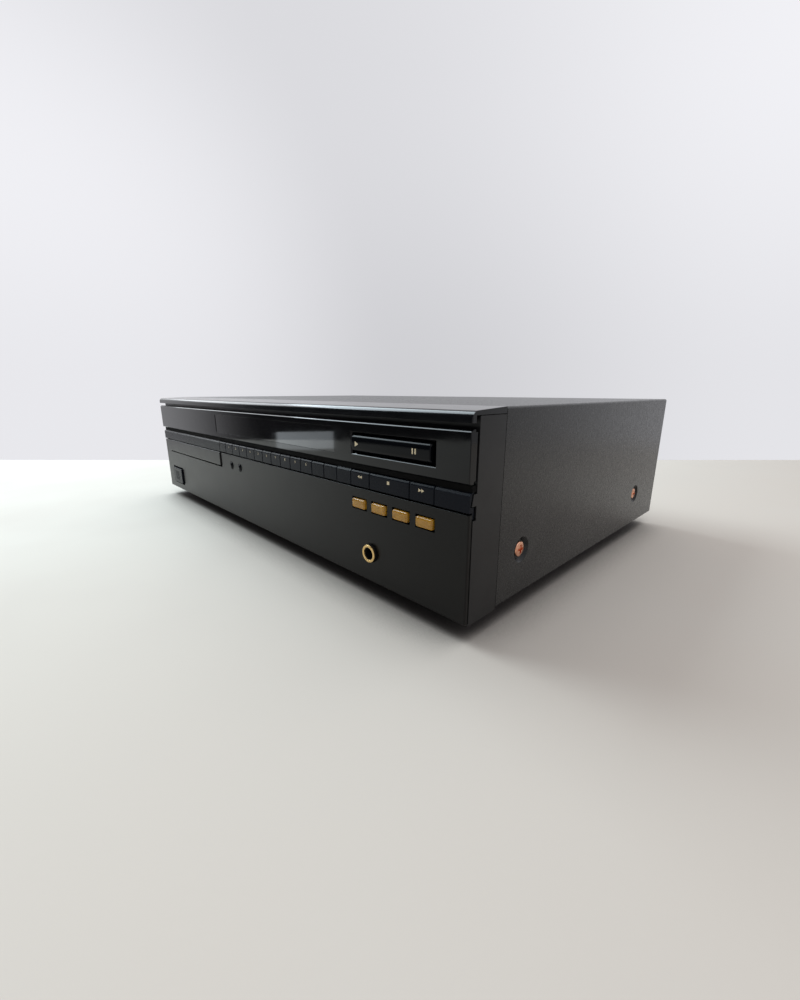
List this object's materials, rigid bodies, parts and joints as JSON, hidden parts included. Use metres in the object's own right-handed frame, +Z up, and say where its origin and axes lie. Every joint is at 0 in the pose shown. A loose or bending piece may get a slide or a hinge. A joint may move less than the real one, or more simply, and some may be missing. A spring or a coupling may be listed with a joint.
{
  "type": "cd player",
  "caption": "Full-width black hi-fi disc player with a sliding disc tray, a gloss display fascia, a row of push keys and a sheet-steel cover on rubber feet.",
  "frame": {"origin": "on the surface that the feet stand on, under the middle of the player's box", "axes": "+X to the right of someone facing the front, -Y out of the front, +Z up"},
  "size_m": [0.42, 0.2776, 0.1075],
  "materials": {
    "textured_paint": "fine crinkle paint, satin black",
    "frame_plastic": "smooth satin black",
    "gloss_plastic": "polished black",
    "panel_plastic": "fine matt, warm black",
    "key_plastic": "satin blue-black",
    "amber_plastic": "translucent amber",
    "smoked_window": "smoked, polished",
    "gold_metal": "gold-plated",
    "copper_metal": "copper-plated steel",
    "zinc_steel": "zinc-plated",
    "core_steel": "varnished laminations",
    "board_laminate": "phenolic board",
    "loader_plastic": "moulded dark grey",
    "gear_plastic": "natural acetal",
    "deck_metal": "die-cast",
    "foot_rubber": "moulded black",
    "belt_rubber": "smooth black",
    "tube_glass": "dark sealed tube"
  },
  "bodies": {
    "housing": {"top_cover": "textured_paint", "front_frame": "frame_plastic", "top_trim": "frame_plastic", "upper_fascia": "gloss_plastic", "display_window": "smoked_window", "display_tube": "tube_glass", "lower_panel": "panel_plastic", "key_strip": "key_plastic", "headphone_jack": "gold_metal", "chassis_base": "zinc_steel", "rear_panel": "textured_paint", "main_board": "board_laminate", "key_board": "board_laminate", "power_transformer": "core_steel", "audio_sockets": "gold_metal", "mains_inlet": "frame_plastic", "loader_frame": "loader_plastic", "loading_motor": "zinc_steel", "drive_belt": "belt_rubber", "foot_1": "foot_rubber", "foot_2": "foot_rubber", "foot_3": "foot_rubber", "foot_4": "foot_rubber", "side_screw_1": "copper_metal", "side_screw_2": "copper_metal", "side_screw_3": "copper_metal", "side_screw_4": "copper_metal"},
    "tray": {"disc_tray": "loader_plastic", "tray_front": "panel_plastic"},
    "drive_gear": {"drive_gear": "gear_plastic"},
    "motor_pulley": {"motor_pulley": "gear_plastic"},
    "deck": {"mechanism_deck": "deck_metal"},
    "turntable": {"turntable": "gear_plastic"},
    "swing_arm": {"swing_arm": "deck_metal"},
    "clamp": {"clamp_bridge": "zinc_steel"},
    "clamp_puck": {"clamp_puck": "loader_plastic"},
    "play_pause_bar": {"play_pause_bar": "key_plastic"},
    "open_close_key": {"open_close_key": "key_plastic"},
    "number_key_1": {"number_key_1": "key_plastic"},
    "number_key_2": {"number_key_2": "key_plastic"},
    "number_key_3": {"number_key_3": "key_plastic"},
    "number_key_4": {"number_key_4": "key_plastic"},
    "number_key_5": {"number_key_5": "key_plastic"},
    "number_key_6": {"number_key_6": "key_plastic"},
    "number_key_7": {"number_key_7": "key_plastic"},
    "number_key_8": {"number_key_8": "key_plastic"},
    "number_key_9": {"number_key_9": "key_plastic"},
    "number_key_0": {"number_key_0": "key_plastic"},
    "program_key": {"program_key": "key_plastic"},
    "repeat_key": {"repeat_key": "key_plastic"},
    "search_back_key": {"search_back_key": "key_plastic"},
    "stop_key": {"stop_key": "key_plastic"},
    "search_forward_key": {"search_forward_key": "key_plastic"},
    "amber_key_1": {"amber_key_1": "amber_plastic"},
    "amber_key_2": {"amber_key_2": "amber_plastic"},
    "amber_key_3": {"amber_key_3": "amber_plastic"},
    "amber_key_4": {"amber_key_4": "amber_plastic"},
    "round_button_1": {"round_button_1": "key_plastic"},
    "round_button_2": {"round_button_2": "key_plastic"},
    "power_button": {"power_button": "key_plastic"}
  },
  "joints": [
    {"name": "tray_slide", "type": "slide", "parent": "housing", "child": "tray", "axis": [0, -1, 0], "range_m": [0, 0.1507]},
    {"name": "drive_gear_spin", "type": "hinge", "parent": "housing", "child": "drive_gear", "pos_m": [-0.04512, -0.10455, 0.0562], "axis": [0, 0, 1], "range_deg": [0, 720]},
    {"name": "motor_pulley_spin", "type": "hinge", "parent": "housing", "child": "motor_pulley", "pos_m": [-0.015, -0.10455, 0.0482], "axis": [0, 0, 1], "range_deg": [0, 2880]},
    {"name": "deck_lift", "type": "slide", "parent": "housing", "child": "deck", "axis": [0, 0, 1], "range_m": [0, 0.005]},
    {"name": "turntable_spin", "type": "hinge", "parent": "deck", "child": "turntable", "pos_m": [-0.1245, -0.05855, 0.0506], "axis": [0, 0, 1], "continuous": true},
    {"name": "swing_arm_turn", "type": "hinge", "parent": "deck", "child": "swing_arm", "pos_m": [-0.1745, -0.02855, 0.0423], "axis": [0, 0, 1], "range_deg": [0, 34.6]},
    {"name": "clamp_lower", "type": "hinge", "parent": "housing", "child": "clamp", "pos_m": [-0.1245, 0.02345, 0.067], "axis": [1, 0, 0], "range_deg": [0, 3.4]},
    {"name": "clamp_puck_spin", "type": "hinge", "parent": "clamp", "child": "clamp_puck", "pos_m": [-0.1245, -0.05855, 0.067], "axis": [0, 0, 1], "continuous": true},
    {"name": "play_pause_rock", "type": "hinge", "parent": "housing", "child": "play_pause_bar", "pos_m": [0.1598, -0.13355, 0.087], "axis": [0, 0, 1], "range_deg": [-1.2, 1.2], "stiffness_Nm_per_rad": 0.5},
    {"name": "open_close_push", "type": "slide", "parent": "housing", "child": "open_close_key", "axis": [0, 1, 0], "range_m": [0, 0.0008], "stiffness_N_per_m": 400},
    {"name": "number_1_push", "type": "slide", "parent": "housing", "child": "number_key_1", "axis": [0, 1, 0], "range_m": [0, 0.0008], "stiffness_N_per_m": 400},
    {"name": "number_2_push", "type": "slide", "parent": "housing", "child": "number_key_2", "axis": [0, 1, 0], "range_m": [0, 0.0008], "stiffness_N_per_m": 400},
    {"name": "number_3_push", "type": "slide", "parent": "housing", "child": "number_key_3", "axis": [0, 1, 0], "range_m": [0, 0.0008], "stiffness_N_per_m": 400},
    {"name": "number_4_push", "type": "slide", "parent": "housing", "child": "number_key_4", "axis": [0, 1, 0], "range_m": [0, 0.0008], "stiffness_N_per_m": 400},
    {"name": "number_5_push", "type": "slide", "parent": "housing", "child": "number_key_5", "axis": [0, 1, 0], "range_m": [0, 0.0008], "stiffness_N_per_m": 400},
    {"name": "number_6_push", "type": "slide", "parent": "housing", "child": "number_key_6", "axis": [0, 1, 0], "range_m": [0, 0.0008], "stiffness_N_per_m": 400},
    {"name": "number_7_push", "type": "slide", "parent": "housing", "child": "number_key_7", "axis": [0, 1, 0], "range_m": [0, 0.0008], "stiffness_N_per_m": 400},
    {"name": "number_8_push", "type": "slide", "parent": "housing", "child": "number_key_8", "axis": [0, 1, 0], "range_m": [0, 0.0008], "stiffness_N_per_m": 400},
    {"name": "number_9_push", "type": "slide", "parent": "housing", "child": "number_key_9", "axis": [0, 1, 0], "range_m": [0, 0.0008], "stiffness_N_per_m": 400},
    {"name": "number_0_push", "type": "slide", "parent": "housing", "child": "number_key_0", "axis": [0, 1, 0], "range_m": [0, 0.0008], "stiffness_N_per_m": 400},
    {"name": "program_push", "type": "slide", "parent": "housing", "child": "program_key", "axis": [0, 1, 0], "range_m": [0, 0.0008], "stiffness_N_per_m": 400},
    {"name": "repeat_push", "type": "slide", "parent": "housing", "child": "repeat_key", "axis": [0, 1, 0], "range_m": [0, 0.0008], "stiffness_N_per_m": 400},
    {"name": "search_back_push", "type": "slide", "parent": "housing", "child": "search_back_key", "axis": [0, 1, 0], "range_m": [0, 0.0008], "stiffness_N_per_m": 400},
    {"name": "stop_push", "type": "slide", "parent": "housing", "child": "stop_key", "axis": [0, 1, 0], "range_m": [0, 0.0008], "stiffness_N_per_m": 400},
    {"name": "search_forward_push", "type": "slide", "parent": "housing", "child": "search_forward_key", "axis": [0, 1, 0], "range_m": [0, 0.0008], "stiffness_N_per_m": 400},
    {"name": "amber_1_push", "type": "slide", "parent": "housing", "child": "amber_key_1", "axis": [0, 1, 0], "range_m": [0, 0.0008], "stiffness_N_per_m": 400},
    {"name": "amber_2_push", "type": "slide", "parent": "housing", "child": "amber_key_2", "axis": [0, 1, 0], "range_m": [0, 0.0008], "stiffness_N_per_m": 400},
    {"name": "amber_3_push", "type": "slide", "parent": "housing", "child": "amber_key_3", "axis": [0, 1, 0], "range_m": [0, 0.0008], "stiffness_N_per_m": 400},
    {"name": "amber_4_push", "type": "slide", "parent": "housing", "child": "amber_key_4", "axis": [0, 1, 0], "range_m": [0, 0.0008], "stiffness_N_per_m": 400},
    {"name": "round_1_push", "type": "slide", "parent": "housing", "child": "round_button_1", "axis": [0, 1, 0], "range_m": [0, 0.0008], "stiffness_N_per_m": 400},
    {"name": "round_2_push", "type": "slide", "parent": "housing", "child": "round_button_2", "axis": [0, 1, 0], "range_m": [0, 0.0008], "stiffness_N_per_m": 400},
    {"name": "power_push", "type": "slide", "parent": "housing", "child": "power_button", "axis": [0, 1, 0], "range_m": [0, 0.002], "stiffness_N_per_m": 500}
  ],
  "couplings": [
    {"joint": "drive_gear_spin", "follows": "tray_slide", "rad_per_m": 83.333},
    {"joint": "motor_pulley_spin", "follows": "tray_slide", "rad_per_m": 333.33},
    {"joint": "clamp_lower", "follows": "deck_lift", "rad_per_m": 11.5},
    {"joint": "clamp_puck_spin", "follows": "turntable_spin", "ratio": 1}
  ]
}
